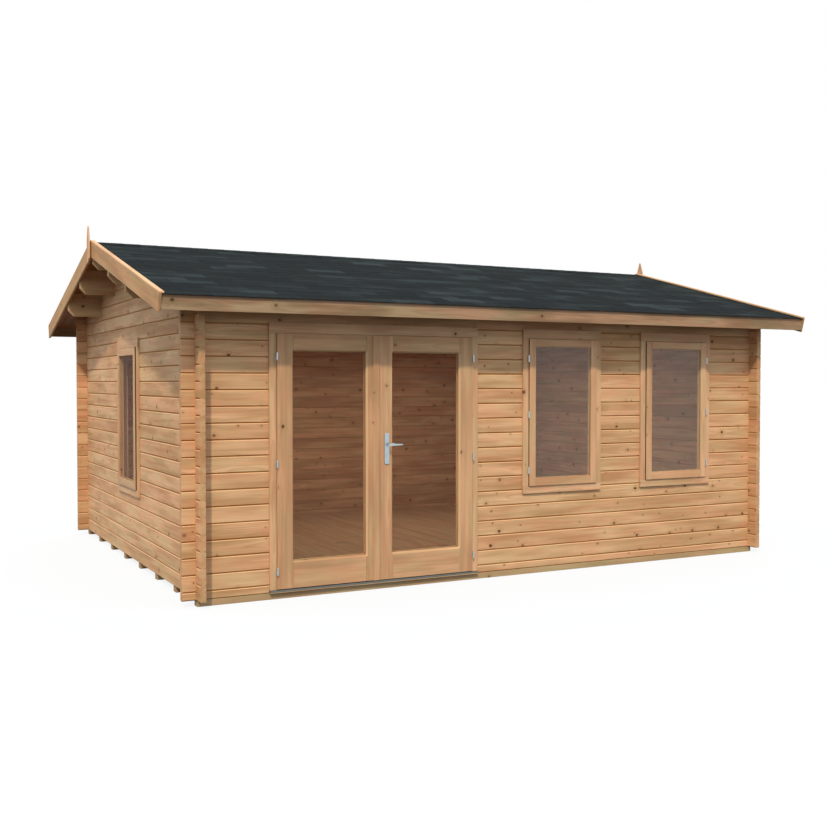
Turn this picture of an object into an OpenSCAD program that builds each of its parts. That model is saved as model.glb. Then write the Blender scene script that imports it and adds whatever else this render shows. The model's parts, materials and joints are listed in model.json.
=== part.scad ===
// Garden cabin of interlocking logs with a gable roof, glazed double doors and three windows.
// Millimetres. X runs along the front, Y from the front to the back, Z up.
// The origin is at ground level, in the middle of the footprint.

/* [Walls] */
// Width between the outer faces of the side walls
wall_w = 5100; // [4700:10:5600]
// Depth between the outer faces of the front and back walls
wall_d = 3900; // [3500:10:4400]
// Height of one log
log_h = 114; // [108:1:120]
// Thickness of one log
log_t = 44; // [36:1:54]
// Length of the log ends past the crossing wall
log_overhang = 96; // [60:1:130]
// Bevel along the edges of a log
log_bevel = 7; // [2:0.5:8]
// Whole logs in the front wall, above its half log
wall_courses = 18; // [18:1:20]
// Whole logs under the window openings
sill_course = 5; // [3:1:7]
// Whole logs up to the head of every opening
head_course = 16; // [15:1:16]

/* [Base] */
// Height of a floor bearer
bearer_h = 45; // [35:1:70]
// Width of a floor bearer
bearer_w = 68; // [45:1:90]
// Number of floor bearers
bearer_count = 8; // [5:1:10]
// Distance of the bearer ends inside the side wall faces
bearer_inset = 8; // [0:1:30]
// Thickness of the floor boards
floor_t = 19; // [16:1:26]

/* [Roof] */
// Slope of the roof in degrees
roof_pitch = 14.7; // [12:0.1:20]
// Thickness of the roof boards
deck_t = 18; // [14:1:24]
// Thickness of the roof covering
felt_t = 5; // [3:0.5:10]
// Distance from the front wall to the face of the fascia
eave_overhang = 285; // [220:1:360]
// Distance from the side wall to the face of the bargeboard
gable_overhang = 314; // [220:1:380]
// Length of the covering past the fascia
felt_drip = 15; // [8:1:30]
// Thickness of the fascia
fascia_t = 18; // [14:1:25]
// Height of the fascia
fascia_h = 102; // [80:1:130]
// Thickness of a bargeboard
barge_t = 18; // [14:1:25]
// Width of a bargeboard
barge_w = 122; // [90:1:150]
// Length of a bargeboard past the fascia
barge_tail = 19; // [16:1:40]
// Thickness of the cap board on a bargeboard
cap_t = 12; // [10:1:20]
// Width of the cap board on a bargeboard
cap_w = 34; // [30:1:90]
// Thickness of a purlin
purlin_t = 44; // [36:1:60]
// Depth of a purlin below the roof boards
purlin_h = 200; // [150:1:240]
// Distance between neighbouring purlins
purlin_spacing = 600; // [500:10:700]
// Slanted cut under the end of a purlin
purlin_cut = 50; // [20:1:90]
// Width of a finial
finial_w = 84; // [60:1:120]
// Thickness of a finial
finial_t = 12; // [8:1:25]
// Height of a finial above the roof ridge
finial_rise = 124; // [90:1:180]
// Length of a finial below the roof ridge
finial_drop = 180; // [120:1:220]
// Distance of a finial from the face of the bargeboards
finial_gap = 10; // [5:1:20]

/* [Joinery] */
// Thickness of the trim boards on the wall
trim_t = 18; // [12:1:24]
// Width of the trim boards beside an opening
trim_w = 51; // [40:1:70]
// Width of the trim board over an opening
trim_head_w = 76; // [70:1:95]
// Width of the trim board under a window
trim_foot_w = 60; // [45:1:80]
// Thickness of the frame lining in an opening
lining_t = 28; // [20:1:38]
// Room for the logs to settle over a frame
settle_gap = 32; // [15:1:40]
// Width of the stop that a leaf or sash closes on
stop_w = 15; // [10:1:22]
// Distance that leaves and sashes stand proud of the wall
leaf_proud = 30; // [24:1:36]
// Thickness of the glass
glass_t = 4; // [3:1:6]

/* [Doors] */
// Middle of the doors from the middle of the front wall
door_x = -1184; // [-1300:1:-1000]
// Width of one door leaf
leaf_w = 785; // [700:1:850]
// Thickness of a door leaf
leaf_t = 44; // [38:1:46]
// Gap between the two leaves
leaf_seam = 8; // [8:0.5:12]
// Gap between a leaf and the frame
leaf_gap = 5; // [5:0.5:8]
// Width of the stile on the hinge side
hinge_stile_w = 117; // [90:1:140]
// Width of the stile beside the seam
meeting_stile_w = 104; // [90:1:130]
// Height of the top rail of a leaf
top_rail_h = 120; // [90:1:150]
// Height of the bottom rail of a leaf
bottom_rail_h = 193; // [140:1:240]
// Width of the cover strip on the left leaf
strip_w = 52; // [35:1:70]
// Thickness of the cover strip on the left leaf
strip_t = 10; // [6:1:14]
// Height of the threshold
threshold_h = 21; // [15:1:30]
// Distance that the threshold stands out in front of the wall
threshold_nose = 24; // [18:1:40]

/* [Door fittings] */
// Height of the lever above the foot of the leaf
lever_z = 993; // [850:1:1100]
// Length of the lever from its pivot
lever_l = 110; // [95:1:130]
// Height of the lever bar
lever_h = 19; // [14:1:24]
// Thickness of the lever bar
lever_t = 11; // [8:1:14]
// Distance from the handle plate to the lever bar
lever_reach = 32; // [26:1:45]
// Diameter of the lever neck
neck_d = 17; // [14:1:20]
// Height of the handle plate
plate_h = 226; // [180:1:250]
// Width of the handle plate
plate_w = 38; // [36:1:52]
// Thickness of the handle plate
plate_t = 8; // [5:1:10]
// Diameter of a hinge barrel
barrel_d = 13; // [10:0.5:14]
// Height of one half of a hinge barrel
knuckle_h = 27; // [22:1:40]
// Diameter of a hinge pin
pin_d = 7; // [5:0.5:8]

/* [Windows] */
// Middle of the first front window from the middle of the wall
window_1_x = 460; // [330:1:560]
// Middle of the second front window from the middle of the wall
window_2_x = 1640; // [1500:1:1750]
// Middle of the side window from the middle of the wall
side_window_y = 30; // [-200:1:200]
// Width of a window sash
sash_w = 658; // [560:1:720]
// Thickness of a window sash
sash_t = 44; // [38:1:46]
// Width of a sash stile
sash_stile_w = 59; // [45:1:80]
// Height of a sash rail
sash_rail_h = 62; // [45:1:80]

/* [Hidden] */
$fn = 48;
// Play between pieces that are fitted to each other
fit = 0.3;
// Spare length on cutting shapes
spare = 1;
// Play of a lever neck or hinge pin in its bore
pin_play = 0.2;
// Number of hinges on a leaf or sash
hinge_count = 3;
// Distance of the lowest hinge from the foot of a leaf or sash
hinge_foot = 126;
// Distance of the highest hinge from the head of a leaf or sash
hinge_head = 156;
// Distance of the hinge axis in front of a leaf's face
hinge_out = 8;
// Thickness of the flap on a hinge barrel
flap_t = 5;
// Length of the flap past the edge of the leaf
flap_l = 9;
// Distance of the lever pivot above the middle of its plate
lever_rise = 29;
// Width of the blunt tip of a finial
finial_tip = 8;
// Height of the shoulders of a finial above the roof ridge
finial_shoulder = 16;
// Distance of the block behind a finial from its edges
finial_inset = 20;
// Gap beside and over a fixed window sash
sash_gap = 1;
// Distance of the glass behind the face of a door leaf
leaf_glass_back = 26;
// Distance of the glass behind the face of a window sash
sash_glass_back = 10;
// Gap over the head of a door leaf
head_gap = 6;
// Gap under the foot of a door leaf
foot_gap = 6;
// Gap between a leaf and the stop behind it
stop_gap = 6;

slope = tan(roof_pitch);
half_w = wall_w / 2;
half_d = wall_d / 2;
log_end_x = half_w + log_overhang;
log_end_y = half_d + log_overhang;

// Heights of the log courses
front_base_z = bearer_h + log_h / 2;
side_base_z = bearer_h;
sill_z = front_base_z + sill_course * log_h;
head_z = front_base_z + head_course * log_h;
wall_top_z = front_base_z + wall_courses * log_h;
side_sill_z = side_base_z + sill_course * log_h;

// Heights of the roof, along its underside
eave_z = wall_top_z - log_t * slope;
ridge_z = eave_z + half_d * slope;
deck_v = deck_t / cos(roof_pitch);
felt_v = felt_t / cos(roof_pitch);
roof_v = deck_v + felt_v;
gable_courses = ceil((ridge_z - side_base_z) / log_h) - wall_courses;
function under_z(y) = ridge_z - abs(y) * slope;
function felt_z(y) = under_z(y) + roof_v;

deck_end_y = half_d + eave_overhang - fascia_t;
fascia_y = half_d + eave_overhang;
felt_end_y = fascia_y + felt_drip;
barge_end_y = fascia_y + barge_tail;
barge_x = half_w + gable_overhang;
roof_end_x = barge_x - barge_t;

// Door opening
frame_in_w = 2 * leaf_w + leaf_seam + 2 * leaf_gap;
door_rough_w = frame_in_w + 2 * lining_t;
door_left = door_x - door_rough_w / 2;
door_right = door_x + door_rough_w / 2;
lining_top_z = head_z - settle_gap;
frame_head_z = lining_top_z - lining_t;
leaf_z = bearer_h + threshold_h + foot_gap;
leaf_h = frame_head_z - head_gap - leaf_z;
leaf_face_y = -half_d - leaf_proud;
leaf_back_y = leaf_face_y + leaf_t;
leaf_edge_x = leaf_seam / 2 + leaf_w;
hinge_x = leaf_edge_x + leaf_gap;
hinge_y = leaf_face_y - hinge_out;
leaf_glass_w = leaf_w - hinge_stile_w - meeting_stile_w;
leaf_glass_h = leaf_h - top_rail_h - bottom_rail_h;
lever_x = door_x + leaf_seam / 2 + meeting_stile_w / 2;
lever_axis_z = leaf_z + lever_z;

// Window opening
sash_in_w = sash_w + 2 * sash_gap;
window_rough_w = sash_in_w + 2 * lining_t;
sash_h = head_z - sill_z - settle_gap - 2 * lining_t - sash_gap - fit;
window_1_left = window_1_x - window_rough_w / 2;
window_1_right = window_1_x + window_rough_w / 2;
window_2_left = window_2_x - window_rough_w / 2;
window_2_right = window_2_x + window_rough_w / 2;
side_window_front = side_window_y - window_rough_w / 2;
side_window_back = side_window_y + window_rough_w / 2;

// Colours
tan_wood = [0.78, 0.56, 0.36];
pale_wood = [0.84, 0.64, 0.43];
base_wood = [0.50, 0.46, 0.36];
felt_grey = [0.17, 0.20, 0.23];
glass_tint = [0.55, 0.50, 0.46, 0.5];
steel = [0.72, 0.76, 0.80];
sill_grey = [0.45, 0.48, 0.48];

// Box from one corner to the opposite corner
module block(low, high) {
    translate(low)
        cube(high - low);
}

// A YZ outline drawn out along X between two places
module along_x(x0, x1) {
    translate([x0, 0, 0])
        rotate([90, 0, 90])
            linear_extrude(x1 - x0)
                children();
}

// An XZ outline drawn out along Y between two places
module along_y(y0, y1) {
    translate([0, y1, 0])
        rotate([90, 0, 0])
            linear_extrude(y1 - y0)
                children();
}

// Section of a log with bevelled edges, its thickness to the right and its height upwards
module log_section(height) {
    polygon([
        [log_bevel, 0], [log_t - log_bevel, 0], [log_t, log_bevel],
        [log_t, height - log_bevel], [log_t - log_bevel, height],
        [log_bevel, height], [0, height - log_bevel], [0, log_bevel]
    ]);
}

// Boxes cut from a log where the logs of a crossing wall pass under and over it
module crossing_cuts(low, high, z0, height, whole) {
    quarter = log_h / 4 + fit / 2;
    if (whole)
        block([low[0], low[1], z0 - spare], [high[0], high[1], z0 + quarter]);
    block([low[0], low[1], z0 + height - quarter], [high[0], high[1], z0 + height + spare]);
}

// Log along X on the wall whose lower Y face is y0, notched for the side walls
module log_along_x(x0, x1, y0, z0, height, whole = true) {
    side_y = y0 - spare;
    difference() {
        translate([0, y0, z0])
            along_x(x0, x1)
                log_section(height - fit);
        for (x = [-half_w, half_w - log_t])
            if (x >= x0 && x + log_t <= x1)
                crossing_cuts([x - fit, side_y], [x + log_t + fit, y0 + log_t + spare],
                    z0, height, whole);
    }
}

// Log along Y on the wall whose lower X face is x0, notched for the front and back walls
module log_along_y(y0, y1, x0, z0) {
    side_x = x0 - spare;
    difference() {
        translate([x0, 0, z0])
            along_y(y0, y1)
                log_section(log_h - fit);
        for (y = [-half_d, half_d - log_t])
            if (y >= y0 && y + log_t <= y1)
                crossing_cuts([side_x, y - fit], [x0 + log_t + spare, y + log_t + fit],
                    z0, log_h, true);
    }
}

// Courses of the front or back wall from one course number up to another
module x_courses(x0, x1, y0, first, last) {
    for (course = [first : last])
        log_along_x(x0, x1, y0, front_base_z + course * log_h, log_h);
}

// The half log under the front or back wall
module x_half_log(x0, x1, y0) {
    log_along_x(x0, x1, y0, bearer_h, log_h / 2, whole = false);
}

// Courses of a side wall from one course number up to another
module y_courses(y0, y1, x0, first, last) {
    for (course = [first : last])
        log_along_y(y0, y1, x0, side_base_z + course * log_h);
}

// Everything under the roof boards, less a fitting play
module under_roof() {
    reach = barge_end_y;
    along_x(-barge_x, barge_x)
        polygon([
            [-reach, 0], [-reach, under_z(reach) - fit], [0, ridge_z - fit],
            [reach, under_z(reach) - fit], [reach, 0]
        ]);
}

// Bottom of the purlin at a distance y from the ridge
function purlin_z(y) = under_z(abs(y) + purlin_t / 2) - purlin_h;

// Place of each purlin, from the front one to the back one
purlin_places = [for (step = [-2 : 2]) step * purlin_spacing];

// Slots that the purlins pass through
module purlin_slots() {
    for (y = purlin_places)
        block([-barge_x, y - purlin_t / 2 - fit, purlin_z(y) - fit],
            [barge_x, y + purlin_t / 2 + fit, ridge_z]);
}

module floor_bearers() {
    step = (wall_d - bearer_w) / (bearer_count - 1);
    color(base_wood)
        for (i = [0 : bearer_count - 1])
            block([-half_w + bearer_inset, -half_d + i * step, 0],
                [half_w - bearer_inset, -half_d + i * step + bearer_w, bearer_h - fit]);
}

module floor() {
    inner_x = half_w - log_t - fit;
    inner_y = half_d - log_t - fit;
    color(tan_wood)
        block([-inner_x, -inner_y, bearer_h], [inner_x, inner_y, bearer_h + floor_t]);
}

module front_logs_left() {
    color(tan_wood) {
        x_half_log(-log_end_x, door_left, -half_d);
        x_courses(-log_end_x, door_left, -half_d, 0, head_course - 1);
    }
}

module front_logs_middle() {
    color(tan_wood)
        x_courses(door_right, window_1_left, -half_d, sill_course, head_course - 1);
}

module front_logs_between_windows() {
    color(tan_wood)
        x_courses(window_1_right, window_2_left, -half_d, sill_course, head_course - 1);
}

module front_logs_right() {
    color(tan_wood)
        x_courses(window_2_right, log_end_x, -half_d, sill_course, head_course - 1);
}

module front_logs_below_windows() {
    color(tan_wood) {
        x_half_log(door_right, log_end_x, -half_d);
        x_courses(door_right, log_end_x, -half_d, 0, sill_course - 1);
    }
}

module front_logs_head() {
    color(tan_wood)
        intersection() {
            x_courses(-log_end_x, log_end_x, -half_d, head_course, wall_courses - 1);
            under_roof();
        }
}

module left_logs_front() {
    color(tan_wood)
        y_courses(-log_end_y, side_window_front, -half_w, sill_course, head_course - 1);
}

module left_logs_back() {
    color(tan_wood)
        y_courses(side_window_back, log_end_y, -half_w, sill_course, head_course - 1);
}

module left_logs_below_window() {
    color(tan_wood)
        y_courses(-log_end_y, log_end_y, -half_w, 0, sill_course - 1);
}

module left_logs_head() {
    color(tan_wood)
        y_courses(-log_end_y, log_end_y, -half_w, head_course, wall_courses - 1);
}

module right_wall_logs() {
    color(tan_wood)
        y_courses(-log_end_y, log_end_y, half_w - log_t, 0, wall_courses - 1);
}

module back_wall_logs() {
    color(tan_wood) {
        x_half_log(-log_end_x, log_end_x, half_d - log_t);
        intersection() {
            x_courses(-log_end_x, log_end_x, half_d - log_t, 0, wall_courses - 1);
            under_roof();
        }
    }
}

// Logs of a gable, cut to the slopes and slotted for the purlins
module gable_logs(x0) {
    color(tan_wood)
        difference() {
            intersection() {
                y_courses(-log_end_y, log_end_y, x0, wall_courses, wall_courses + gable_courses - 1);
                under_roof();
            }
            purlin_slots();
        }
}

module left_gable_logs() {
    gable_logs(-half_w);
}

module right_gable_logs() {
    gable_logs(half_w - log_t);
}

// Side view of a purlin, with its ends cut away below
module purlin_outline(z0) {
    end_x = roof_end_x - fit;
    polygon([
        [-end_x, ridge_z], [-end_x, z0 + purlin_cut], [-end_x + purlin_cut, z0],
        [end_x - purlin_cut, z0], [end_x, z0 + purlin_cut], [end_x, ridge_z]
    ]);
}

module purlins() {
    color(tan_wood)
        for (y = purlin_places)
            intersection() {
                along_y(y - purlin_t / 2, y + purlin_t / 2)
                    purlin_outline(purlin_z(y));
                under_roof();
            }
}

// Band of the roof on one side, from the ridge to a distance y, between two heights over its underside
module roof_band(side, end_y, low, high) {
    start_y = fit / 2;
    polygon([
        [side * start_y, under_z(start_y) + low], [side * start_y, under_z(start_y) + high],
        [side * end_y, under_z(end_y) + high], [side * end_y, under_z(end_y) + low]
    ]);
}

module roof_boards(side) {
    end_x = roof_end_x - fit;
    color(tan_wood)
        along_x(-end_x, end_x)
            roof_band(side, deck_end_y - fit, 0, deck_v - fit);
}

module front_roof_boards() {
    roof_boards(-1);
}

module back_roof_boards() {
    roof_boards(1);
}

module roof_felt(side) {
    end_x = roof_end_x - fit;
    color(felt_grey)
        along_x(-end_x, end_x)
            roof_band(side, felt_end_y, deck_v, roof_v);
}

module front_roof_felt() {
    roof_felt(-1);
}

module back_roof_felt() {
    roof_felt(1);
}

// Fascia board under the edge of the covering
module fascia(side) {
    end_x = roof_end_x - fit;
    top_z = under_z(fascia_y) + deck_v - fit;
    near_y = side * deck_end_y;
    far_y = side * fascia_y;
    color(pale_wood)
        block([-end_x, min(near_y, far_y), top_z - fascia_h], [end_x, max(near_y, far_y), top_z]);
}

module front_fascia() {
    fascia(-1);
}

module back_fascia() {
    fascia(1);
}

// Outline of a bargeboard on one side, with a plumb cut at the ridge and a square end
module barge_outline(side) {
    start_y = fit / 2;
    foot_y = barge_end_y - barge_w * sin(roof_pitch);
    foot_z = felt_z(barge_end_y) - barge_w * cos(roof_pitch);
    polygon([
        [side * start_y, felt_z(start_y)], [side * barge_end_y, felt_z(barge_end_y)],
        [side * foot_y, foot_z], [side * start_y, felt_z(start_y) - barge_w / cos(roof_pitch)]
    ]);
}

module bargeboards(x0) {
    color(pale_wood)
        along_x(x0, x0 + barge_t)
            for (side = [-1, 1])
                barge_outline(side);
}

module left_bargeboards() {
    bargeboards(-barge_x);
}

module right_bargeboards() {
    bargeboards(barge_x - barge_t);
}

// Cap boards over the bargeboards and the edge of the covering
module barge_caps(x0) {
    low = roof_v + fit;
    color(pale_wood)
        along_x(x0, x0 + cap_w)
            for (side = [-1, 1])
                roof_band(side, barge_end_y, low, low + cap_t / cos(roof_pitch));
}

module left_barge_caps() {
    barge_caps(-barge_x);
}

module right_barge_caps() {
    barge_caps(barge_x - cap_w);
}

// Flat pointed board that stands off the face of the bargeboards on a narrower block
module finial(side) {
    half = finial_w / 2;
    tip = finial_tip / 2;
    top_z = felt_z(0) + finial_rise;
    shoulder_z = felt_z(0) + finial_shoulder;
    low_z = felt_z(0) - finial_drop;
    back_x = barge_x + fit;
    board_x = back_x + finial_gap;
    color(pale_wood)
        mirror([side, 0, 0]) {
            along_x(board_x, board_x + finial_t)
                polygon([
                    [0, low_z], [half, low_z + half], [half, shoulder_z], [tip, top_z],
                    [-tip, top_z], [-half, shoulder_z], [-half, low_z + half]
                ]);
            block([back_x, finial_inset - half, felt_z(0) - barge_w],
                [board_x + finial_t / 2, half - finial_inset, felt_z(0) - finial_inset]);
        }
}

module left_finial() {
    finial(1);
}

module right_finial() {
    finial(0);
}

// Upright of a frame beside an opening: lining, stop and a trim board on each wall face.
// It stands on the left of an opening whose clear edge is x = 0 and whose wall face is y = 0.
module frame_upright(z1, stop_y, inner_z0) {
    block([-lining_t, 0, fit], [0, log_t, z1]);
    block([-spare, stop_y, fit], [stop_w, log_t, z1]);
    block([-trim_w, -trim_t, fit], [0, 0, z1]);
    block([-trim_w, log_t, inner_z0], [0, log_t + trim_t, z1]);
}

// Cross piece of a frame, over or under an opening, between two places along X
module frame_cross(half, z0, z1, trim_low, trim_high) {
    block([-half - lining_t, 0, z0], [half + lining_t, log_t, z1]);
    for (y = [-trim_t, log_t])
        block([-half - trim_w, y, trim_low], [half + trim_w, y + trim_t, trim_high]);
}

// Frame around an opening of a clear width and height, with its foot at z = 0
module opening_frame(clear_w, clear_h, stop_y, inner_z0, foot) {
    half = clear_w / 2;
    for (side = [0, 1])
        mirror([side, 0, 0])
            translate([-half, 0, 0])
                frame_upright(clear_h - fit, stop_y, inner_z0);
    frame_cross(half, clear_h, clear_h + lining_t, clear_h, clear_h + trim_head_w);
    if (foot)
        frame_cross(half, -lining_t, 0, -trim_foot_w, 0);
}

module door_frame() {
    foot_z = bearer_h + threshold_h;
    color(tan_wood)
        translate([door_x, -half_d, foot_z])
            opening_frame(frame_in_w, frame_head_z - foot_z, leaf_t - leaf_proud + stop_gap,
                max(0, floor_t - threshold_h) + fit, false);
}

module door_threshold() {
    nose_y = -half_d - threshold_nose;
    top_z = bearer_h + threshold_h;
    half = door_rough_w / 2 - fit;
    wide = frame_in_w / 2 + trim_w;
    color(sill_grey) {
        block([door_x - half, nose_y, bearer_h], [door_x + half, -half_d + log_t - fit, top_z]);
        block([door_x - wide, nose_y, bearer_h], [door_x + wide, -half_d - fit, top_z]);
    }
}

// Half of a hinge barrel, with its axis on the origin
module knuckle(z0) {
    translate([0, 0, z0])
        cylinder(d = barrel_d, h = knuckle_h);
}

// Heights of the hinge joints on a leaf or sash that is tall high
function hinge_heights(tall) =
    [for (i = [0 : hinge_count - 1])
        hinge_foot + i * (tall - hinge_foot - hinge_head) / (hinge_count - 1)];

// Lower half of a hinge, with the pin and the lug that is fixed to the trim
module hinge_lower() {
    lug_y = hinge_out + leaf_proud - trim_t;
    knuckle(-knuckle_h);
    block([-barrel_d / 2, 0, -knuckle_h], [0, lug_y, -fit]);
    cylinder(d = pin_d, h = knuckle_h - spare);
}

// Upper half of a hinge, with the bore for the pin and the flap that is fixed to the leaf
module hinge_upper() {
    difference() {
        union() {
            knuckle(fit);
            block([0, hinge_out - flap_t, fit], [leaf_gap + flap_l, hinge_out, knuckle_h]);
        }
        translate([0, 0, -spare])
            cylinder(d = pin_d + pin_play, h = knuckle_h + spare);
    }
}

// Places a piece on each hinge of the left leaf, or mirrored on the right leaf
module at_hinges(side) {
    translate([door_x, 0, 0])
        mirror([side, 0, 0])
            for (z = hinge_heights(leaf_h))
                translate([-hinge_x, hinge_y, leaf_z + z])
                    children();
}

module frame_hinge_pins() {
    color(steel)
        for (side = [0, 1])
            at_hinges(side)
                hinge_lower();
}

module left_door_hinges() {
    color(steel)
        at_hinges(0)
            hinge_upper();
}

module right_door_hinges() {
    color(steel)
        at_hinges(1)
            hinge_upper();
}

// Stiles and rails of a leaf or sash from its lower left corner, with its face at y = 0
module panel_frame(wide, tall, thick, left_stile, right_stile, low_rail, high_rail) {
    block([0, 0, 0], [left_stile, thick, tall]);
    block([wide - right_stile, 0, 0], [wide, thick, tall]);
    rail_x0 = left_stile + fit;
    rail_x1 = wide - right_stile - fit;
    block([rail_x0, 0, 0], [rail_x1, thick, low_rail]);
    block([rail_x0, 0, tall - high_rail], [rail_x1, thick, tall]);
}

// Pane of glass in a leaf or sash, between its stiles and rails and at a depth behind its face
module panel_glass(back, wide, tall, left_stile, right_stile, low_rail, high_rail) {
    block([left_stile + fit, back, low_rail + fit],
        [wide - right_stile - fit, back + glass_t, tall - high_rail - fit]);
}

module left_door_leaf() {
    strip_x = leaf_w - strip_w;
    color(tan_wood)
        translate([door_x - leaf_edge_x, leaf_face_y, leaf_z]) {
            panel_frame(leaf_w, leaf_h, leaf_t, hinge_stile_w, meeting_stile_w,
                bottom_rail_h, top_rail_h);
            block([strip_x, -strip_t, 0], [leaf_w, 0, leaf_h]);
        }
}

module left_door_glass() {
    color(glass_tint)
        translate([door_x - leaf_edge_x, leaf_face_y, leaf_z])
            panel_glass(leaf_glass_back, leaf_w, leaf_h, hinge_stile_w, meeting_stile_w,
                bottom_rail_h, top_rail_h);
}

module right_door_leaf() {
    color(tan_wood)
        difference() {
            translate([door_x + leaf_seam / 2, leaf_face_y, leaf_z])
                panel_frame(leaf_w, leaf_h, leaf_t, meeting_stile_w, hinge_stile_w,
                    bottom_rail_h, top_rail_h);
            lever_bore();
        }
}

module right_door_glass() {
    color(glass_tint)
        translate([door_x + leaf_seam / 2, leaf_face_y, leaf_z])
            panel_glass(leaf_glass_back, leaf_w, leaf_h, meeting_stile_w, hinge_stile_w,
                bottom_rail_h, top_rail_h);
}

// Round bar along Y through the lever's pivot
module lever_bar(dia, y0, y1) {
    translate([lever_x, y1, lever_axis_z])
        rotate([90, 0, 0])
            cylinder(d = dia, h = y1 - y0);
}

module lever_bore() {
    reach = plate_t + spare;
    lever_bar(neck_d + pin_play, leaf_face_y - reach, leaf_back_y + reach);
}

module door_handle_plates() {
    plate_mid_z = lever_axis_z - lever_rise;
    color(steel)
        difference() {
            for (y = [leaf_face_y - plate_t, leaf_back_y])
                block([lever_x - plate_w / 2, y, plate_mid_z - plate_h / 2],
                    [lever_x + plate_w / 2, y + plate_t, plate_mid_z + plate_h / 2]);
            lever_bore();
        }
}

module door_lever() {
    outer_y = leaf_face_y - plate_t - lever_reach;
    inner_y = leaf_back_y + plate_t + lever_reach;
    color(steel) {
        lever_bar(neck_d, outer_y - lever_t, inner_y + lever_t);
        for (y = [outer_y - lever_t, inner_y])
            block([lever_x, y, lever_axis_z - lever_h / 2],
                [lever_x + lever_l, y + lever_t, lever_axis_z + lever_h / 2]);
    }
}

// Places a window drawn at the origin, in the middle of its foot and on the wall face
module at_front_windows() {
    for (x = [window_1_x, window_2_x])
        translate([x, -half_d, sill_z + lining_t])
            children();
}

module at_side_window() {
    translate([-half_w, side_window_y, side_sill_z + lining_t])
        rotate([0, 0, -90])
            children();
}

module window_frame() {
    clear_h = sash_h + sash_gap + fit;
    opening_frame(sash_in_w, clear_h, sash_t - leaf_proud + fit, fit, true);
}

module window_sash() {
    translate([-sash_w / 2, -leaf_proud, fit])
        panel_frame(sash_w, sash_h, sash_t, sash_stile_w, sash_stile_w, sash_rail_h, sash_rail_h);
}

module window_glass() {
    translate([-sash_w / 2, -leaf_proud, fit])
        panel_glass(sash_glass_back, sash_w, sash_h, sash_stile_w, sash_stile_w,
            sash_rail_h, sash_rail_h);
}

// Whole hinge barrels down one edge of a sash, each on a lug over the trim
module sash_hinges(side) {
    lug_y = leaf_proud - trim_t;
    mirror([side, 0, 0])
        for (z = hinge_heights(sash_h))
            translate([-sash_in_w / 2 - barrel_d / 2, -leaf_proud, z]) {
                translate([0, 0, -knuckle_h])
                    cylinder(d = barrel_d, h = 2 * knuckle_h);
                block([-barrel_d / 4, 0, -knuckle_h], [barrel_d / 4, lug_y, knuckle_h]);
            }
}

module front_window_frames() {
    color(tan_wood)
        at_front_windows()
            window_frame();
}

module front_window_sashes() {
    color(tan_wood)
        at_front_windows()
            window_sash();
}

module front_window_glass() {
    color(glass_tint)
        at_front_windows()
            window_glass();
}

module side_window_frame() {
    color(tan_wood)
        at_side_window()
            window_frame();
}

module side_window_sash() {
    color(tan_wood)
        at_side_window()
            window_sash();
}

module side_window_glass() {
    color(glass_tint)
        at_side_window()
            window_glass();
}

module window_hinges() {
    foot = sill_z + lining_t;
    color(steel) {
        translate([window_1_x, -half_d, foot])
            sash_hinges(0);
        translate([window_2_x, -half_d, foot])
            sash_hinges(1);
    }
}

floor_bearers();
floor();
front_logs_left();
front_logs_middle();
front_logs_between_windows();
front_logs_right();
front_logs_below_windows();
front_logs_head();
left_logs_front();
left_logs_back();
left_logs_below_window();
left_logs_head();
right_wall_logs();
back_wall_logs();
left_gable_logs();
right_gable_logs();
purlins();
front_roof_boards();
back_roof_boards();
front_roof_felt();
back_roof_felt();
front_fascia();
back_fascia();
left_bargeboards();
right_bargeboards();
left_barge_caps();
right_barge_caps();
left_finial();
right_finial();
door_frame();
door_threshold();
frame_hinge_pins();
left_door_leaf();
left_door_glass();
left_door_hinges();
right_door_leaf();
right_door_glass();
right_door_hinges();
door_handle_plates();
door_lever();
front_window_frames();
front_window_sashes();
front_window_glass();
side_window_frame();
side_window_sash();
side_window_glass();
window_hinges();
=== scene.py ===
import json
import math
import random

import bmesh
import bpy
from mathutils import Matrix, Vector


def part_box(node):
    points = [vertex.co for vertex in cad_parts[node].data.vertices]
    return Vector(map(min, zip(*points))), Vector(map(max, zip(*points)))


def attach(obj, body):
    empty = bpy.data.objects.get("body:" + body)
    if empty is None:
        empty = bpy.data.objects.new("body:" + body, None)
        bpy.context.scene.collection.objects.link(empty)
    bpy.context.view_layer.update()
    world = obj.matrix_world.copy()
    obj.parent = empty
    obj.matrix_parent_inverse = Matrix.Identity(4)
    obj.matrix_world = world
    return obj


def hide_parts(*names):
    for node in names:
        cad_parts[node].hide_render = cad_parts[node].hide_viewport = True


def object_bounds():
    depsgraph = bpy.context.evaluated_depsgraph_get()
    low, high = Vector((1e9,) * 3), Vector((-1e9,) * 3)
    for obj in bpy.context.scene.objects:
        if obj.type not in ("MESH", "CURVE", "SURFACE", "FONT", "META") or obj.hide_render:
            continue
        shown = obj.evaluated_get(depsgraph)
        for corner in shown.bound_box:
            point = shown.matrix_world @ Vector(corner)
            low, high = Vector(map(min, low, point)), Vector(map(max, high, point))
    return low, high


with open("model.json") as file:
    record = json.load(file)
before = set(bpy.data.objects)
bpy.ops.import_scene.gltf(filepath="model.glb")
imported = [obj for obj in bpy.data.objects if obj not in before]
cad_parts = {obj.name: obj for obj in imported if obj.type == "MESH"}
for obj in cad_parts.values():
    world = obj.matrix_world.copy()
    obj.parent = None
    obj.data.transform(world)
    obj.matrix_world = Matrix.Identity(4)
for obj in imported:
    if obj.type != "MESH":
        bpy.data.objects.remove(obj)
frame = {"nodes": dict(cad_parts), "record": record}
cad_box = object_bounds()

# Lengths are in metres, angles in degrees, colours linear.
MM = 0.001

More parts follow.
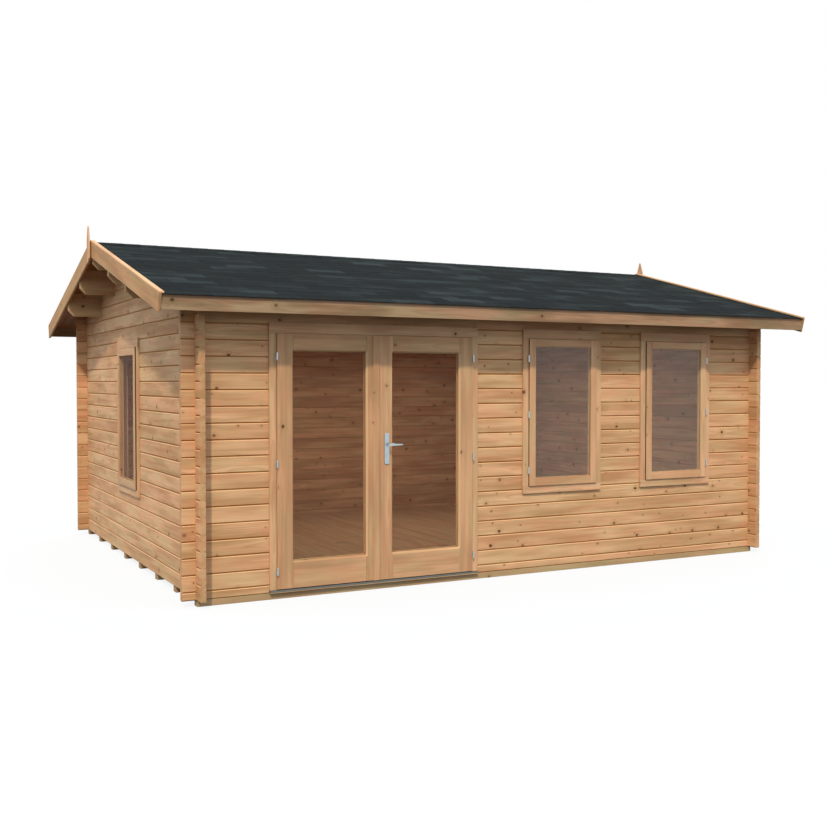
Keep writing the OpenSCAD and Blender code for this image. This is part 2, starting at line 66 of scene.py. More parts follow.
# Camera, from the photograph's perspective
PHOTO_SIZE = 828
CAMERA_PLACE = (-4.517, -8.879, 1.522)
CAMERA_YAW = 27.651
CAMERA_PITCH = -1.459
FOCAL_PIXELS = 1047.24
OPTICAL_CENTRE = (413.8, 409.0)
SENSOR_WIDTH = 36.0
CAMERA_REACH = 200.0

# Light
SUN_AZIMUTH = 35.3
SUN_ELEVATION = 48.1
SUN_STRENGTH = 2.5
SUN_SOFTNESS = 3.0
SUN_COLOUR = (1.0, 0.92, 0.76)
SKY_COLOUR = (0.90, 1.065, 1.21, 1.0)
SKY_STRENGTH = 1.01
FLOOR_GREY = (0.10, 0.10, 0.10, 1.0)
FLOOR_GLOW = 0.86
FLOOR_RADIUS = 60.0
FLOOR_SEGMENTS = 96
ROOM_LIGHT_POWER = 20.5
ROOM_LIGHT_COLOUR = (1.0, 0.94, 0.87)
ROOM_LIGHT_SIZE = (3.6, 2.4)
ROOM_LIGHT_HEIGHT = 1.88

# Wood: shares say how far a colour is mixed in, and knot sizes are parts of their spacing
RING_WIDTH = 6 * MM
RING_SHARE = 0.294
STREAK_SPAN = (-0.196, 0.224)
FIBRE_SHARE = 0.22
KNOTS_PER_METRE = 5.5
KNOT_STRETCH = (0.85, 1.0, 0.0)
KNOT_SIZE = 0.026
KNOT_SIZE_SPAN = 0.046
KNOT_SIZE_POWER = 1.5
KNOT_STRENGTH = (0.55, 0.95)
KNOT_BEND = 1.6
HALO_SHARE = 0.3
END_SHARE = 0.3
WEAR_SHARE = 0.3
# Painted highlight on the crests of log bevels and on upright leaf chamfers
CREST_HIGHLIGHT_SHARE = 0.9
# Painted shade and shadow in the log joints
JOINT_SHADE_SHARE = 0.6
JOINT_SHADE_COLOUR = (0.38, 0.14, 0.010, 1)
RED_CAST = (1.06, 0.95, 0.96, 1)
GREEN_CAST = (0.96, 1.03, 1.0, 1)

# Timber
WELD = 0.05 * MM
SHARP_ANGLE = math.radians(25)
FLAT_ANGLE = math.radians(0.6)
LOG_ROUNDING = 1.2 * MM
TIMBER_ROUNDING = 2 * MM
GRAIN_SHIFT = 80.0
PITH_RISE = 0.06
PITH_DEPTH = (0.01, 0.07)
END_NORMAL = 0.85
BEVEL_NORMAL = 0.3
LEVEL_NORMAL = 0.97
BOARD_WIDTH = 0.092
BOARD_GAP = 0.4 * MM
BOARD_GROOVE = 4 * MM
SHADOW_LINE = 3.6 * MM
# Strength of the painted joint shade on the room side
ROOM_JOINT_SHADE = 0.15
LEAF_CHAMFER = 12 * MM

# Roof covering
SHINGLE_EXPOSURE = 0.145
SHINGLE_COVER = 1.55
SHINGLE_TAB = 0.333
SHINGLE_SLOT = 5 * MM
SHINGLE_THICK = 0.6 * MM
UNDERLAY_THICK = 0.9 * MM
RIDGE_FLAP = 0.125
RIDGE_LIFT = 2.5 * MM
LEAST_COVER = 0.02
COURSE_SHIFT = 0.02
TAB_SKEW_MM = 1.5
TAB_TONE_POWER = 2.0
FELT_DARK = (0.0085, 0.0112, 0.0122, 1)
FELT_PALE = (0.027, 0.035, 0.035, 1)
FELT_GRANULE = (0.028, 0.036, 0.036, 1)
FELT_CLOUD = (0.0080, 0.0108, 0.0126, 1)

# Joinery
BEAD_WIDTH = 4.5 * MM
BEAD_DEPTH = 13 * MM
BEAD_FLAT = 4 * MM
BEAD_BACK = -0.3 * MM
BEAD_CURVE = [
    (BEAD_FLAT + (BEAD_WIDTH - BEAD_FLAT) * math.cos(a),
     BEAD_FLAT + (BEAD_DEPTH - BEAD_FLAT) * math.sin(a))
    for a in (0.4, 0.8, 1.2)
]
BEAD_SECTION = [
    (BEAD_BACK, 0.0), (BEAD_WIDTH, 0.0), (BEAD_WIDTH, BEAD_FLAT), *BEAD_CURVE,
    (BEAD_FLAT, BEAD_DEPTH), (BEAD_BACK, BEAD_DEPTH),
]
REBATE_LIP = 4 * MM
REBATE_BACK = 1 * MM
REBATE_DEPTH = 20 * MM
SEAM_LIP = 6 * MM
SEAL_WIDTH = 2.5 * MM
SEAL_PROUD = 8 * MM
SEAL_ROUNDING = 0.5 * MM

# Fittings
PLATE_CORNER = 9 * MM
LEVER_TIP_SHARE = 0.5
HINGE_PLATE = 2.5 * MM
HINGE_FIT = 0.3 * MM
THRESHOLD_BAR = 16 * MM
THRESHOLD_ROUNDING = 1 * MM
PLATE_ROUNDING = 1.0 * MM
LEVER_ROUNDING = 1.5 * MM
STEEL_ROUNDING = 0.5 * MM
BARREL_SOFT_SHARE = 0.18
SCREW_RADIUS = 4 * MM
SCREW_INSET = 14 * MM
SCREW_PROFILE = [
    (SCREW_RADIUS, 0.0), (SCREW_RADIUS, 0.3 * MM), (SCREW_RADIUS * 0.8, 0.9 * MM),
    (SCREW_RADIUS * 0.45, 1.0 * MM), (SCREW_RADIUS * 0.4, 0.3 * MM),
]
KEY_RADIUS = 8.5 * MM
KEY_DROP = 72 * MM
KEY_PROUD = 2.2 * MM
KEY_STEM_SHARE = 0.6
KEY_LENGTH_SHARE = 2.1
KEY_PROFILE = [
    (KEY_RADIUS, 0.0), (KEY_RADIUS, KEY_PROUD), (KEY_RADIUS - 0.6 * MM, 2.6 * MM),
    (KEY_RADIUS - 1.8 * MM, 2.6 * MM), (KEY_RADIUS - 1.8 * MM, KEY_PROUD),
    (KEY_RADIUS - 2.2 * MM, KEY_PROUD), (KEY_RADIUS - 2.2 * MM, 2.8 * MM),
]

BODY_OF = {
    node: body for body, nodes in frame["record"]["behaviour"]["bodies"].items() for node in nodes
}


# Shader helpers

def new_material(name):
    """A material with an empty node tree."""
    material = bpy.data.materials.new(name)
    material.use_nodes = True
    material.node_tree.nodes.clear()
    return material, material.node_tree


def plug(tree, socket, value):
    """Link a socket to another node's output, or set its value."""
    if isinstance(value, bpy.types.NodeSocket):
        tree.links.new(value, socket)
    else:
        socket.default_value = value


def add(tree, kind, inputs=None, **settings):
    """One shader node. inputs maps an input's name or number to a value or an output."""
    made = tree.nodes.new("ShaderNode" + kind)
    for key, value in settings.items():
        setattr(made, key, value)
    for key, value in (inputs or {}).items():
        plug(tree, made.inputs[key], value)
    return made


def calc(tree, operation, a, b=0.0, c=0.0):
    """The result of a Math node."""
    return add(tree, "Math", {0: a, 1: b, 2: c}, operation=operation).outputs[0]


def scaled(tree, vector, scale):
    """A vector multiplied by a fixed vector."""
    return add(tree, "VectorMath", {0: vector, 1: scale}, operation="MULTIPLY").outputs[0]


def band(tree, value, start, end, low=0.0, high=1.0):
    """A smooth step from low to high while value goes from start to end."""
    inputs = {"Value": value, "From Min": start, "From Max": end, "To Min": low, "To Max": high}
    return add(tree, "MapRange", inputs, interpolation_type="SMOOTHSTEP").outputs[0]


def tint(tree, factor, a, b, mode="MIX"):
    """Colour a blended with colour b."""
    made = add(tree, "Mix", {0: factor}, data_type="RGBA", blend_type=mode)
    plug(tree, made.inputs[6], a)
    plug(tree, made.inputs[7], b)
    return made.outputs[2]


def noise(tree, vector, scale, detail=2.0, roughness=0.5):
    """A noise value from 0 to 1."""
    inputs = {"Vector": vector, "Scale": scale, "Detail": detail, "Roughness": roughness}
    return add(tree, "TexNoise", inputs).outputs["Fac"]


def mesh_value(tree, name, output="Fac"):
    """A value that the mesh carries."""
    return add(tree, "Attribute", attribute_name=name).outputs[output]


def close(tree, shader):
    """Send a shader to the surface."""
    add(tree, "OutputMaterial", {"Surface": shader})


# Materials

def wood(name, pale, deep, late, knot, knot_share=0.55, rough=0.6, saw_marks=0.0, patch=1.0):
    """Planed softwood with growth rings round a pith, streaks, fibres, knots and worn arrises, with
    a painted highlight on crests and painted shade and shadow in log joints.

    knot_share is the share of knot places in use, and patch scales the broad clouds of tone.
    """
    material, tree = new_material(name)
    grain = mesh_value(tree, "grain", "Vector")
    tone = mesh_value(tree, "tone")
    hue = mesh_value(tree, "hue")
    end = mesh_value(tree, "end")

    # Knots, each an uneven spot that runs through the timber, with the grain bent round it
    wobble = add(tree, "TexNoise", {"Vector": scaled(tree, grain, (70.0, 90.0, 0.0)), "Scale": 1.0})
    bent = scaled(tree, wobble.outputs["Color"], (0.006, 0.004, 0.0))
    spread = scaled(tree, grain, KNOT_STRETCH)
    spread = add(tree, "VectorMath", {0: spread, 1: bent}, operation="ADD").outputs[0]
    cells = add(
        tree, "TexVoronoi", {"Vector": spread, "Scale": KNOTS_PER_METRE}, voronoi_dimensions="2D")
    spot = add(tree, "SeparateColor", {0: cells.outputs["Color"]})
    kept = calc(tree, "LESS_THAN", spot.outputs[0], knot_share)
    kept = calc(tree, "MULTIPLY", kept, calc(tree, "LESS_THAN", end, 0.5))
    size = calc(tree, "POWER", spot.outputs[1], KNOT_SIZE_POWER)
    size = calc(tree, "MULTIPLY_ADD", size, KNOT_SIZE_SPAN, KNOT_SIZE)
    reach = calc(tree, "DIVIDE", cells.outputs["Distance"], size)
    knot_core = calc(tree, "MULTIPLY", band(tree, reach, 1.15, 0.7), kept)
    strength = band(tree, spot.outputs[2], 0.0, 1.0, *KNOT_STRENGTH)
    knot_core = calc(tree, "MULTIPLY", knot_core, strength)
    knot_halo = calc(tree, "MULTIPLY", band(tree, reach, 4.0, 0.8), kept)

    # Growth rings round a pith that wanders along the timber
    drift = add(tree, "TexNoise", {"Vector": scaled(tree, grain, (0.9, 3.0, 3.0)), "Scale": 1.0})
    wander = scaled(tree, drift.outputs["Color"], (0.0, 0.06, 0.06))
    place = add(tree, "VectorMath", {0: grain, 1: wander}, operation="ADD").outputs[0]
    flat = scaled(tree, place, (0.0, 1.0, 1.0))
    radius = add(tree, "VectorMath", {0: flat}, operation="LENGTH").outputs["Value"]
    radius = calc(tree, "MULTIPLY_ADD", knot_halo, KNOT_BEND * RING_WIDTH, radius)
    turn = calc(tree, "FRACT", calc(tree, "DIVIDE", radius, RING_WIDTH))
    late_wood = calc(tree, "MULTIPLY", band(tree, turn, 0.35, 0.9), band(tree, turn, 1.0, 0.93))

    # Broad bands, streaks and fibres along the grain
    broad = noise(tree, scaled(tree, grain, (1.6, 9.0, 9.0)), 1.0, 2.0)
    streak = noise(tree, scaled(tree, grain, (1.4, 30.0, 30.0)), 1.0, 3.0)
    blush = noise(tree, scaled(tree, grain, (2.6, 13.0, 13.0)), 1.0, 2.0)
    fibre = noise(tree, scaled(tree, grain, (7.0, 330.0, 330.0)), 1.0, 3.0, 0.6)
    streak = band(tree, streak, 0.32, 0.68, *STREAK_SPAN)
    broad = band(tree, broad, 0.32, 0.68, 0.27 - 0.33 * patch, 0.27 + 0.33 * patch)
    shade = calc(tree, "ADD", calc(tree, "MULTIPLY_ADD", tone, 0.45, streak), broad)
    blush = band(tree, blush, 0.35, 0.65, 0.25 - 0.4 * patch, 0.25 + 0.4 * patch)
    warmth = calc(tree, "MULTIPLY_ADD", hue, 0.5, blush)

    colour = tint(tree, shade, pale, deep)
    cast = tint(tree, warmth, RED_CAST, GREEN_CAST)
    colour = tint(tree, 1.0, colour, cast, "MULTIPLY")
    fibre_share = band(tree, fibre, 0.35, 0.75, 0.0, FIBRE_SHARE)
    for value, share, other in (
        (late_wood, RING_SHARE, late), (fibre_share, 1.0, late), (knot_halo, HALO_SHARE, late),
        (knot_core, 1.0, knot), (end, END_SHARE, late),
        (mesh_value(tree, "edge"), WEAR_SHARE, pale),
        # painted highlight on crests
        (mesh_value(tree, "crest_highlight"), CREST_HIGHLIGHT_SHARE, pale),
        # painted shade and shadow in the log joints
        (mesh_value(tree, "joint_shade"), JOINT_SHADE_SHARE, JOINT_SHADE_COLOUR),
    ):
        colour = tint(tree, calc(tree, "MULTIPLY", value, share), colour, other)

    height = calc(tree, "MULTIPLY_ADD", fibre, 0.6, calc(tree, "MULTIPLY", late_wood, 0.4))
    if saw_marks:
        marks = add(tree, "TexWave", {"Vector": grain, "Scale": 90.0, "Distortion": 3.0})
        height = calc(tree, "MULTIPLY_ADD", marks.outputs["Fac"], saw_marks, height)
    bump = add(tree, "Bump", {"Height": height, "Strength": 0.35, "Distance": 0.6 * MM})
    roughness = calc(tree, "MULTIPLY_ADD", fibre, 0.2, rough - 0.1)
    surface = add(tree, "BsdfPrincipled", {
        "Base Color": colour, "Roughness": roughness, "Normal": bump.outputs[0],
        "Specular IOR Level": 0.06,
    })
    close(tree, surface.outputs[0])
    return material


def felt(name):
    """Mineral surfaced bitumen: dark granules, each tab a shade of its own."""
    material, tree = new_material(name)
    place = add(tree, "TexCoord").outputs["Object"]
    tone = mesh_value(tree, "tone")
    granule = noise(tree, place, 420.0, 2.0, 0.7)
    cloud = noise(tree, scaled(tree, place, (1.6, 5.0, 5.0)), 1.0, 3.0)
    colour = tint(tree, tone, FELT_DARK, FELT_PALE)
    colour = tint(tree, band(tree, granule, 0.55, 0.8, 0.0, 0.5), colour, FELT_GRANULE)
    colour = tint(tree, band(tree, cloud, 0.42, 0.60, 0.0, 0.75), colour, FELT_CLOUD)
    bump = add(tree, "Bump", {"Height": granule, "Strength": 0.5, "Distance": 0.8 * MM})
    roughness = band(tree, granule, 0.3, 0.8, 0.8, 0.95)
    surface = add(tree, "BsdfPrincipled", {
        "Base Color": colour, "Roughness": roughness, "Normal": bump.outputs[0],
        "Specular IOR Level": 0.05,
    })
    close(tree, surface.outputs[0])
    return material


def metal(name, colour, dull, rough):
    """Satin metal with fine brushing and a dull film in patches."""
    material, tree = new_material(name)
    place = add(tree, "TexCoord").outputs["Object"]
    brushing = noise(tree, scaled(tree, place, (900.0, 900.0, 40.0)), 1.0, 2.0)
    film = noise(tree, place, 60.0, 3.0)
    tone = tint(tree, band(tree, film, 0.45, 0.75, 0.0, 0.6), colour, dull)
    roughness = calc(tree, "MULTIPLY_ADD", brushing, 0.16, rough - 0.08)
    bump = add(tree, "Bump", {"Height": brushing, "Strength": 0.15, "Distance": 0.1 * MM})
    surface = add(tree, "BsdfPrincipled", {
        "Base Color": tone, "Metallic": 1.0, "Roughness": roughness, "Normal": bump.outputs[0],
    })
    close(tree, surface.outputs[0])
    return material


def glass(name, clear_share, index, shade):
    """Clear float glass with a faint roller wave. Lamps and soft light pass straight through."""
    material, tree = new_material(name)
    place = add(tree, "TexCoord").outputs["Object"]
    wave = noise(tree, scaled(tree, place, (2.0, 2.0, 5.0)), 1.0, 1.0)
    bump = add(tree, "Bump", {"Height": wave, "Strength": 0.05, "Distance": 1 * MM})
    pane = add(tree, "BsdfPrincipled", {
        "Base Color": shade, "Roughness": 0.0, "IOR": index,
        "Transmission Weight": clear_share, "Normal": bump.outputs[0],
    })
    clear = add(tree, "BsdfTransparent", {"Color": (0.9, 0.92, 0.9, 1)})
    ray = add(tree, "LightPath")
    shader = pane.outputs[0]
    for kind in ("Is Diffuse Ray", "Is Shadow Ray"):
        inputs = {0: ray.outputs[kind], 1: shader, 2: clear.outputs[0]}
        shader = add(tree, "MixShader", inputs).outputs[0]
    close(tree, shader)
    return material


def rubber(name, colour, worn):
    """Matte dark seal with a fine skin and dusty patches; its darkness also paints a shadow gap."""
    material, tree = new_material(name)
    place = add(tree, "TexCoord").outputs["Object"]
    dust = noise(tree, place, 40.0, 3.0)
    skin = noise(tree, place, 900.0, 2.0)
    bump = add(tree, "Bump", {"Height": skin, "Strength": 0.2, "Distance": 0.2 * MM})
    surface = add(tree, "BsdfPrincipled", {
        "Base Color": tint(tree, band(tree, dust, 0.4, 0.7), colour, worn),
        "Roughness": band(tree, skin, 0.3, 0.7, 0.7, 0.9), "Normal": bump.outputs[0],
        "Specular IOR Level": 0.2,
    })
    close(tree, surface.outputs[0])
    return material


# Pale, deep, late wood and knot colour, and what differs from the usual wood
WOODS = {
    "log_wood": (
        (0.80, 0.475, 0.255, 1), (0.51, 0.26, 0.12, 1), (0.40, 0.19, 0.08, 1),
        (0.10, 0.04, 0.015, 1), {"knot_share": 0.8}),
    "trim_wood": (
        (0.77, 0.46, 0.26, 1), (0.56, 0.305, 0.16, 1), (0.43, 0.22, 0.10, 1),
        (0.12, 0.05, 0.02, 1), {"knot_share": 0.35}),
    "barge_wood": (
        (0.60, 0.352, 0.165, 1), (0.43, 0.233, 0.103, 1), (0.34, 0.17, 0.075, 1),
        (0.10, 0.045, 0.02, 1), {"knot_share": 0.35}),
    "fascia_wood": (
        (0.41, 0.25, 0.143, 1), (0.255, 0.152, 0.082, 1), (0.20, 0.115, 0.057, 1),
        (0.06, 0.03, 0.015, 1), {"knot_share": 0.4, "patch": 2.2}),
    "purlin_wood": (
        (0.70, 0.45, 0.245, 1), (0.46, 0.265, 0.13, 1), (0.36, 0.19, 0.085, 1),
        (0.10, 0.045, 0.02, 1), {}),
    "joinery_wood": (
        (0.69, 0.40, 0.214, 1), (0.465, 0.254, 0.127, 1), (0.39, 0.205, 0.095, 1),
        (0.12, 0.05, 0.02, 1), {"knot_share": 0.25, "rough": 0.5}),
    "sash_wood": (
        (0.73, 0.43, 0.235, 1), (0.53, 0.29, 0.145, 1), (0.42, 0.215, 0.10, 1),
        (0.12, 0.05, 0.02, 1), {"knot_share": 0.25, "rough": 0.5}),
    # Far darker than the other timber: painted shade under the eaves on top of the boards' own
    # colour
    "roof_board_wood": (
        (0.29, 0.13, 0.046, 1), (0.225, 0.094, 0.031, 1), (0.17, 0.068, 0.022, 1),
        (0.06, 0.025, 0.01, 1), {}),
    "floor_wood": (
        (0.66, 0.39, 0.21, 1), (0.52, 0.29, 0.145, 1), (0.41, 0.21, 0.095, 1),
        (0.10, 0.045, 0.02, 1), {}),
    "bearer_wood": (
        (0.56, 0.36, 0.19, 1), (0.44, 0.275, 0.14, 1), (0.31, 0.18, 0.085, 1),
        (0.10, 0.05, 0.025, 1), {"rough": 0.75, "saw_marks": 0.8}),
}
# Share of light let through, refractive index and shade
GLASSES = {
    "clear_glass": (0.99, 1.05, (0.97, 0.955, 0.89, 1)),
    "veiled_glass": (1.0, 1.45, (0.955, 1.0, 0.93, 1)),
    "side_glass": (0.995, 1.02, (0.91, 0.88, 0.85, 1)),
}
# Colour, dull film and roughness
METALS = {
    "fitting_steel": ((0.47, 0.54, 0.57, 1), (0.38, 0.44, 0.46, 1), 0.34),
    "threshold_metal": ((0.17, 0.175, 0.16, 1), (0.12, 0.125, 0.11, 1), 0.5),
}
# Dark seal colours, which also paint the shadow gap beside each sash
SEAL_SHADOW_COLOURS = ((0.085, 0.042, 0.018, 1), (0.055, 0.028, 0.014, 1))
MATERIALS = {name: wood(name, *colours, **rest) for name, (*colours, rest) in WOODS.items()}
MATERIALS["roof_felt"] = felt("roof_felt")
MATERIALS.update({name: glass(name, *values) for name, values in GLASSES.items()})
MATERIALS["seal_shadow_rubber"] = rubber("seal_shadow_rubber", *SEAL_SHADOW_COLOURS)
MATERIALS.update({name: metal(name, *values) for name, values in METALS.items()})


# Mesh helpers

def new_object(name, data):
    """An object in the scene."""
    made = bpy.data.objects.new(name, data)
    bpy.context.scene.collection.objects.link(made)
    return made


def make_piece(name, bm, slot, body, nodes=(), finish=None):
    """A finished piece from a bmesh: named, coloured, on its body, standing for CAD nodes."""
    mesh = bpy.data.meshes.new(name)
    bm.to_mesh(mesh)
    bm.free()
    mesh.materials.append(MATERIALS[finish or slot])
    piece = new_object(name, mesh)
    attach(piece, body)
    if nodes:
        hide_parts(*nodes)
    return piece


def join_flat(bm):
    """Weld vertices and join faces that lie in one plane."""
    bmesh.ops.remove_doubles(bm, verts=bm.verts, dist=WELD)
    bmesh.ops.dissolve_limit(
        bm, angle_limit=FLAT_ANGLE, verts=bm.verts, edges=bm.edges, use_dissolve_boundaries=False)


def node_mesh(node):
    """A CAD node's mesh, welded and with its flat faces joined."""
    bm = bmesh.new()
    bm.from_mesh(frame["nodes"][node].data)
    join_flat(bm)
    face_outward(bm)
    return bm


def face_outward(bm):
    """Turn every face of closed solids outwards."""
    bmesh.ops.recalc_face_normals(bm, faces=bm.faces)


def shade_faces(bm, smooth=True):
    """Shade every face smooth or flat."""
    for face in bm.faces:
        face.smooth = smooth


def cut_level(bm, height, **clear):
    """Cut a mesh along a level plane."""
    return bmesh.ops.bisect_plane(
        bm, geom=bm.verts[:] + bm.edges[:] + bm.faces[:], plane_co=(0, 0, height),
        plane_no=(0, 0, 1), **clear)


def round_edges(bm, width, segments=2):
    """Round every sharp edge, and return the new faces."""
    sharp = [e for e in bm.edges if e.is_manifold and e.calc_face_angle() > SHARP_ANGLE]
    made = bmesh.ops.bevel(
        bm, geom=sharp, offset=width, segments=segments, profile=0.5, affect="EDGES",
        clamp_overlap=True)
    return set(made["faces"])


def islands(bm):
    """The separate timbers of a mesh, as lists of vertices, in the order of their places."""
    found, seen = [], set()
    for start in bm.verts:
        if start in seen:
            continue
        group, todo = [], [start]
        seen.add(start)
        while todo:
            vert = todo.pop()
            group.append(vert)
            for edge in vert.link_edges:
                other = edge.other_vert(vert)
                if other not in seen:
                    seen.add(other)
                    todo.append(other)
        low, high = corners(group)
        found.append((tuple(round(c, 3) for c in (low + high) / 2), group))
    return [group for _, group in sorted(found, key=lambda item: item[0])]


def corners(verts):
    """Lowest and highest corner of some vertices."""
    low = Vector([min(v.co[i] for v in verts) for i in range(3)])
    high = Vector([max(v.co[i] for v in verts) for i in range(3)])
    return low, high


def node_boxes(node):
    """Lowest and highest corner of each solid of a node."""
    source = node_mesh(node)
    boxes = [corners(verts) for verts in islands(source)]
    source.free()
    return boxes


def grain_axes(verts, along=None):
    """Directions along, across and through a timber. The grain follows its longest edge."""
    if along is None:
        edges = {edge for vert in verts for edge in vert.link_edges}
        longest = max(edges, key=lambda edge: round(edge.calc_length(), 4))
        along = longest.verts[1].co - longest.verts[0].co
        along = along if max(along, key=abs) > 0 else -along
    along = Vector(along).normalized()
    up = Vector((1, 0, 0)) if abs(along.z) > 0.8 else Vector((0, 0, 1))
    across = (up - along * up.dot(along)).normalized()
    return along, across, along.cross(across)


def lay_grain(bm, seed, rounded=frozenset(), along=None, outward=None, smooth=True):
    """Store each timber's grain coordinates, tone, worn edges and ends, and on logs the painted
    joint shade and shadow and the painted crest highlight.
    """
    draw = random.Random(seed)
    grain = bm.verts.layers.float_vector.new("grain")
    tone = bm.verts.layers.float.new("tone")
    hue = bm.verts.layers.float.new("hue")
    edge = bm.verts.layers.float.new("edge")
    end = bm.faces.layers.float.new("end")
    joint_shade = bm.faces.layers.float.new("joint_shade")
    crest_highlight = bm.faces.layers.float.get("crest_highlight") or bm.faces.layers.float.new("crest_highlight")
    for verts in islands(bm):
        u_axis, v_axis, w_axis = grain_axes(verts, along)
        low, high = corners(verts)
        middle = (low + high) / 2
        shift = draw.uniform(0, GRAIN_SHIFT)
        pith_rise = draw.uniform(-PITH_RISE, PITH_RISE)
        pith_depth = draw.choice((-1, 1)) * draw.uniform(*PITH_DEPTH)
        own_tone, own_hue = draw.random(), draw.random()
        for vert in verts:
            from_middle = vert.co - middle
            vert[grain] = (
                from_middle.dot(u_axis) + shift,
                from_middle.dot(v_axis) + pith_rise,
                from_middle.dot(w_axis) + pith_depth,
            )
            vert[tone] = own_tone
            vert[hue] = own_hue
            vert[edge] = float(bool(rounded) and all(f in rounded for f in vert.link_faces))
        for face in {f for vert in verts for f in vert.link_faces}:
            face[end] = float(abs(face.normal.dot(u_axis)) > END_NORMAL)
            if outward and not face[end]:
                place = face.calc_center_median()
                strength = 1.0 if (place - middle).dot(outward) > 0 else ROOM_JOINT_SHADE
                bevel = BEVEL_NORMAL < face.normal.z < LEVEL_NORMAL
                deep = bevel and place.z > high.z - SHADOW_LINE
                # Painted shade on down-facing bevels and painted shadow on the deepest strip of
                # each upper bevel, weaker on the room side
                face[joint_shade] = strength * float(deep or face.normal.z < -BEVEL_NORMAL)
                # Painted highlight on the rest of each upper bevel
                face[crest_highlight] = strength * float(bevel and not deep)
    shade_faces(bm, smooth)


def even_normals(piece):
    """Keep broad faces flat beside their rounded edges."""
    piece.modifiers.new("even_normals", "WEIGHTED_NORMAL").keep_sharp = True


def cut_shadow_lines(bm):
    """Part the upper bevel of each log, so that its deepest strip can take a painted shadow."""
    for top in sorted({round(corners(verts)[1].z, 4) for verts in islands(bm)}):
        cut_level(bm, top - SHADOW_LINE)


def on_rim(place, low, high, face):
    """Whether a place lies on the rim of a pane's opening, in the leaf's face."""
    beside = min(abs(place.x - low.x), abs(place.x - high.x)) < MM
    level = min(abs(place.z - low.z), abs(place.z - high.z)) < MM
    within = low.x - MM < place.x < high.x + MM and low.z - MM < place.z < high.z + MM
    return abs(place.y - face) < WELD and within and (beside or level)


def chamfer_opening(bm, panes):
    """Chamfer the outer arris of a leaf's stiles and rails round its panes, with a painted
    highlight on the upright chamfers.
    """
    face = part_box("right_door_leaf")[0][1]
    crest_highlight = bm.faces.layers.float.new("crest_highlight")
    for low, high in node_boxes(panes):
        for height in (low.z, high.z):
            cut_level(bm, height)
        rim = []
        for edge in bm.edges:
            start, end = (v.co for v in edge.verts)
            places = (start, end, (start + end) / 2)
            framing = all(on_rim(place, low, high, face) for place in places)
            if framing and edge.calc_length() > LEAF_CHAMFER:
                rim.append(edge)
        made = bmesh.ops.bevel(bm, geom=rim, offset=LEAF_CHAMFER, segments=1, affect="EDGES")
        for chamfer in made["faces"]:
            chamfer.normal_update()
            # Painted highlight on the upright chamfers
            chamfer[crest_highlight] = float(abs(chamfer.normal.x) > 0.5)
    join_flat(bm)


def dress_timber(node, slot, width, seed, along=None, outward=None, finish=None, panes=None):
    """A CAD timber node with rounded arrises and its own grain.

    Logs state their wall's outward side, and leaves their panes.
    """
    bm = node_mesh(node)
    if panes:
        chamfer_opening(bm, panes)
    rounded = round_edges(bm, width)
    if outward:
        cut_shadow_lines(bm)
    lay_grain(bm, seed, rounded, along, outward)
    piece = make_piece(node + "_timber", bm, slot, BODY_OF[node], [node], finish)
    even_normals(piece)


def solid_between(bm, start, end):
    """A closed solid between two outlines with as many corners, and its vertices."""
    rings = [[bm.verts.new(point) for point in ring] for ring in (start, end)]
    bm.faces.new(reversed(rings[0]))
    bm.faces.new(rings[1])
    for i in range(len(start)):
        j = (i + 1) % len(start)
        bm.faces.new((rings[0][i], rings[0][j], rings[1][j], rings[1][i]))
    return rings[0] + rings[1]


def prism(bm, outline, x_start, x_end):
    """A closed solid of a YZ outline between two planes across X."""
    return solid_between(bm, *[[(x, y, z) for y, z in outline] for x in (x_start, x_end)])


def block(bm, low, high):
    """A box between two corners."""
    outline = [(low[1], low[2]), (high[1], low[2]), (high[1], high[2]), (low[1], high[2])]
    return prism(bm, outline, low[0], high[0])


def turned(bm, foot, axis, profile, segments=28):
    """A turned solid: (radius, height) pairs along an axis from its foot."""
    axis = Vector(axis).normalized()
    side = axis.orthogonal().normalized()
    other = axis.cross(side)
    rings = []
    for radius, height in profile:
        middle = Vector(foot) + axis * height
        angles = [2 * math.pi * i / segments for i in range(segments)]
        rings.append([
            bm.verts.new(middle + (side * math.cos(a) + other * math.sin(a)) * radius)
            for a in angles
        ])
    bm.faces.new(reversed(rings[0]))
    bm.faces.new(rings[-1])
    for below, above in zip(rings, rings[1:]):
        for i in range(segments):
            j = (i + 1) % segments
            bm.faces.new((below[i], below[j], above[j], above[i]))


# Walls: planed logs with painted shade and shadow in the groove at every joint and a painted
# highlight on each upper bevel, by the direction of the logs
LOG_SEED = 100
LOG_NODES = {
    (1, 0, 0): (
        "front_logs_left", "front_logs_middle", "front_logs_between_windows", "front_logs_right",
        "front_logs_below_windows", "front_logs_head", "back_wall_logs",
    ),
    (0, 1, 0): (
        "left_logs_front", "left_logs_back", "left_logs_below_window", "left_logs_head",
        "right_wall_logs", "left_gable_logs", "right_gable_logs",
    ),
}
LOGS = [(node, along) for along, nodes in LOG_NODES.items() for node in nodes]


def wall_side(node, along):
    """The direction out of the cabin through a wall."""
    low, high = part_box(node)
    across = 1 if along[0] else 0
    side = Vector()
    side[across] = math.copysign(1.0, low[across] + high[across])
    return side


for number, (log_node, direction) in enumerate(LOGS):
    outside = wall_side(log_node, direction)
    dress_timber(log_node, "log_wood", LOG_ROUNDING, LOG_SEED + number, direction, outside)

